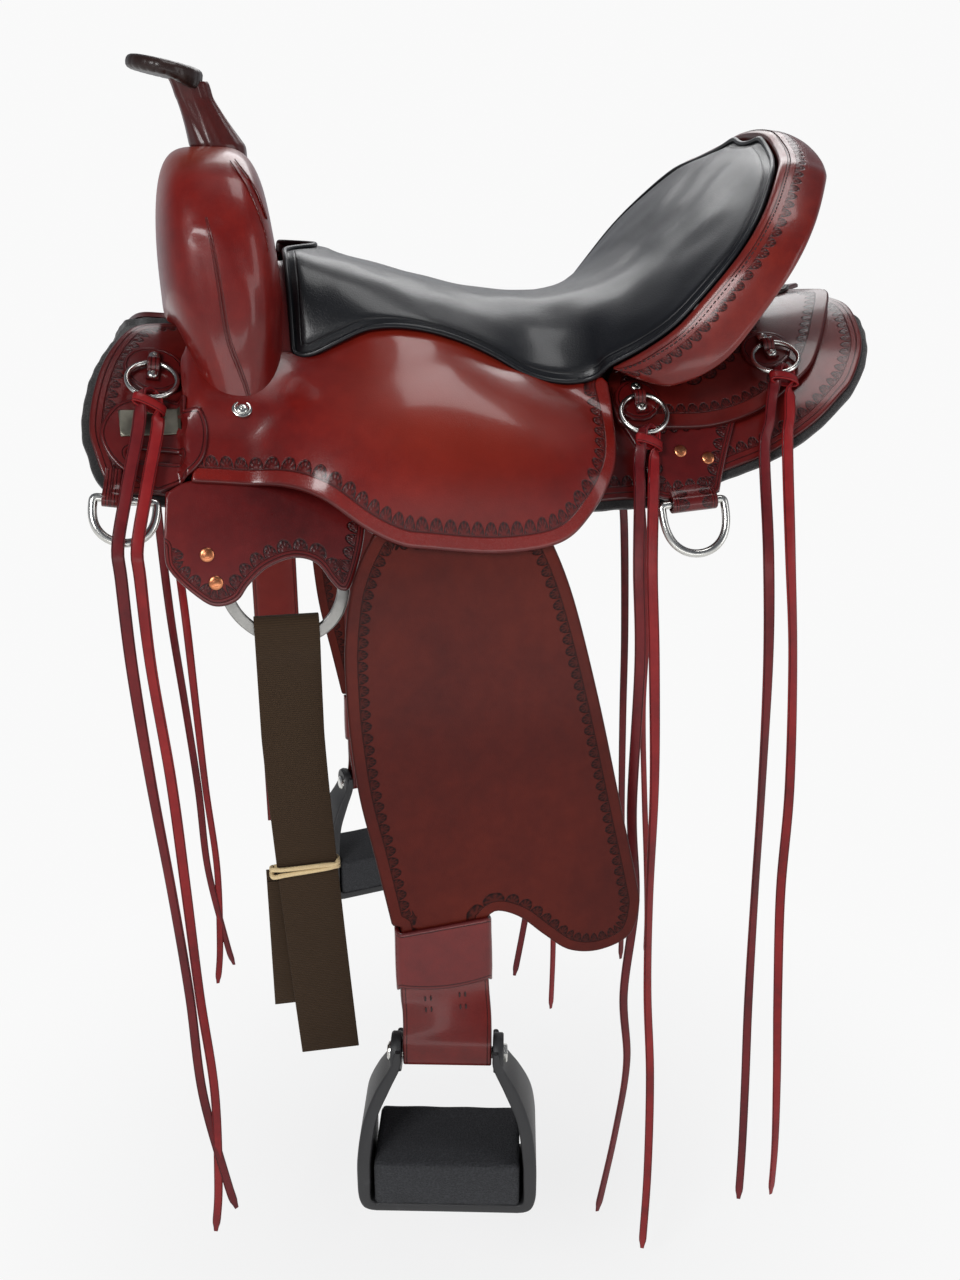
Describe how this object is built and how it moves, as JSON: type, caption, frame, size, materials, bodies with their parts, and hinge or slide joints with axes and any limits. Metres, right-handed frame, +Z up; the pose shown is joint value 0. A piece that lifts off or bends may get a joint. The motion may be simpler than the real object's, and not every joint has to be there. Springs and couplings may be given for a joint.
{
  "type": "trail saddle",
  "caption": "Western trail saddle with horn, padded seat, stamped leather, swinging fenders and stirrups, saddle strings, rigging rings and latigo.",
  "frame": {"origin": "middle of the saddle's underside on the horse's back, at the top of the arch between the skirts, on the centre plane", "axes": "+X towards the rear, -Y towards the near (left) side, +Z up"},
  "size_m": [0.629, 0.6052, 1.0685],
  "materials": {
    "skirt_leather": "smooth oiled, satin",
    "fleece": "felted lining",
    "stainless_steel": "polished",
    "oxblood_leather": "waxed, tooled and stamped, satin",
    "webbing": "woven strap",
    "tree_wood": "sealed",
    "horn_leather": "wrapped and pleated, satin",
    "seat_leather": "soft padded, satin black",
    "fender_leather": "dark oiled, satin",
    "moulded_plastic": "fine moulded texture",
    "rubber": "matte",
    "lace_leather": "latigo lace, satin"
  },
  "bodies": {
    "saddle": {"skirt_left": "skirt_leather", "skirt_right": "skirt_leather", "skirt_lining_left": "fleece", "skirt_lining_right": "fleece", "rigging_plate_left": "stainless_steel", "rigging_plate_right": "stainless_steel", "rigging_leather_left": "oxblood_leather", "rigging_leather_right": "oxblood_leather", "latigo_keeper_left": "oxblood_leather", "rear_rigging_leather_left": "oxblood_leather", "rear_rigging_leather_right": "oxblood_leather", "back_jockey": "oxblood_leather", "back_tongue": "oxblood_leather", "seat_jockey_left": "oxblood_leather", "seat_jockey_right": "oxblood_leather", "tree_bar_left": "tree_wood", "tree_bar_right": "tree_wood", "fork_cover": "oxblood_leather", "tree_fork": "tree_wood", "horn_neck": "horn_leather", "horn_cap": "horn_leather", "seat_pad": "seat_leather", "ground_seat": "tree_wood", "cantle_roll": "oxblood_leather", "cantle_back": "oxblood_leather", "tree_cantle": "tree_wood", "string_clip_front_left": "oxblood_leather", "string_clip_front_right": "oxblood_leather", "string_clip_middle_left": "oxblood_leather", "string_clip_middle_right": "oxblood_leather", "string_clip_rear_left": "oxblood_leather", "string_clip_rear_right": "oxblood_leather"},
    "fender_leg_left": {"fender_left": "fender_leather", "stirrup_leather_left": "fender_leather", "hobble_keeper_left": "fender_leather"},
    "stirrup_foot_left": {"stirrup_left": "moulded_plastic", "tread_pad_left": "rubber"},
    "string_ring_body_front_left": {"string_ring_front_left": "stainless_steel", "saddle_string_front_left": "lace_leather"},
    "string_ring_body_middle_left": {"string_ring_middle_left": "stainless_steel", "saddle_string_middle_left": "lace_leather"},
    "string_ring_body_rear_left": {"string_ring_rear_left": "stainless_steel", "saddle_string_rear_left": "lace_leather"},
    "dee_body_front_left": {"front_dee_left": "stainless_steel"},
    "dee_body_rear_left": {"rear_dee_left": "stainless_steel"},
    "fender_leg_right": {"fender_right": "fender_leather", "stirrup_leather_right": "fender_leather", "hobble_keeper_right": "fender_leather"},
    "stirrup_foot_right": {"stirrup_right": "moulded_plastic", "tread_pad_right": "rubber"},
    "string_ring_body_front_right": {"string_ring_front_right": "stainless_steel", "saddle_string_front_right": "lace_leather"},
    "string_ring_body_middle_right": {"string_ring_middle_right": "stainless_steel", "saddle_string_middle_right": "lace_leather"},
    "string_ring_body_rear_right": {"string_ring_rear_right": "stainless_steel", "saddle_string_rear_right": "lace_leather"},
    "dee_body_front_right": {"front_dee_right": "stainless_steel"},
    "dee_body_rear_right": {"rear_dee_right": "stainless_steel"},
    "latigo_body_left": {"latigo_left": "webbing"},
    "off_billet_body_right": {"off_billet_right": "oxblood_leather"}
  },
  "joints": [
    {"name": "fender_swing_left", "type": "hinge", "parent": "saddle", "child": "fender_leg_left", "pos_m": [-0.0575, -0.2034, -0.11], "axis": [0, -0.9962, 0.0872], "range_deg": [-12, 16]},
    {"name": "stirrup_tilt_left", "type": "hinge", "parent": "fender_leg_left", "child": "stirrup_foot_left", "pos_m": [-0.072, -0.25204, -0.534], "axis": [-0.9781, 0.2079, 0], "range_deg": [-6, 60]},
    {"name": "string_ring_front_left", "type": "hinge", "parent": "saddle", "child": "string_ring_body_front_left", "pos_m": [-0.265, -0.11303, 0.00591], "axis": [-0.9902, 0, 0.1399], "range_deg": [0, 25]},
    {"name": "string_ring_middle_left", "type": "hinge", "parent": "saddle", "child": "string_ring_body_middle_left", "pos_m": [0.101, -0.14144, -0.02444], "axis": [0.9986, 0, 0.0538], "range_deg": [-25, 0]},
    {"name": "string_ring_rear_left", "type": "hinge", "parent": "saddle", "child": "string_ring_body_rear_left", "pos_m": [0.215, -0.11406, 0.00882], "axis": [-0.9859, -0.0046, -0.1673], "range_deg": [0, 25]},
    {"name": "front_dee_left", "type": "hinge", "parent": "saddle", "child": "dee_body_front_left", "pos_m": [-0.2885, -0.18384, -0.0783], "axis": [-1, 0, 0], "range_deg": [0, 8]},
    {"name": "rear_dee_left", "type": "hinge", "parent": "saddle", "child": "dee_body_rear_left", "pos_m": [0.134, -0.18622, -0.0988], "axis": [-1, 0, 0], "range_deg": [0, 40]},
    {"name": "fender_swing_right", "type": "hinge", "parent": "saddle", "child": "fender_leg_right", "pos_m": [-0.0575, 0.2034, -0.11], "axis": [0, -0.9962, -0.0872], "range_deg": [-12, 16]},
    {"name": "stirrup_tilt_right", "type": "hinge", "parent": "fender_leg_right", "child": "stirrup_foot_right", "pos_m": [-0.072, 0.25204, -0.534], "axis": [0.9781, 0.2079, 0], "range_deg": [-6, 60]},
    {"name": "string_ring_front_right", "type": "hinge", "parent": "saddle", "child": "string_ring_body_front_right", "pos_m": [-0.265, 0.11303, 0.00591], "axis": [0.9902, 0, -0.1399], "range_deg": [0, 25]},
    {"name": "string_ring_middle_right", "type": "hinge", "parent": "saddle", "child": "string_ring_body_middle_right", "pos_m": [0.101, 0.14144, -0.02444], "axis": [-0.9986, 0, -0.0538], "range_deg": [-25, 0]},
    {"name": "string_ring_rear_right", "type": "hinge", "parent": "saddle", "child": "string_ring_body_rear_right", "pos_m": [0.215, 0.11406, 0.00882], "axis": [0.9859, -0.0046, 0.1673], "range_deg": [0, 25]},
    {"name": "front_dee_right", "type": "hinge", "parent": "saddle", "child": "dee_body_front_right", "pos_m": [-0.2885, 0.18384, -0.0783], "axis": [1, 0, 0], "range_deg": [0, 8]},
    {"name": "rear_dee_right", "type": "hinge", "parent": "saddle", "child": "dee_body_rear_right", "pos_m": [0.134, 0.18622, -0.0988], "axis": [1, 0, 0], "range_deg": [0, 40]},
    {"name": "latigo_left", "type": "hinge", "parent": "saddle", "child": "latigo_body_left", "pos_m": [-0.181, -0.20354, -0.17996], "axis": [-1, 0, 0], "range_deg": [-4, 15]},
    {"name": "off_billet_right", "type": "hinge", "parent": "saddle", "child": "off_billet_body_right", "pos_m": [-0.181, 0.20354, -0.17996], "axis": [1, 0, 0], "range_deg": [-4, 15]}
  ]
}
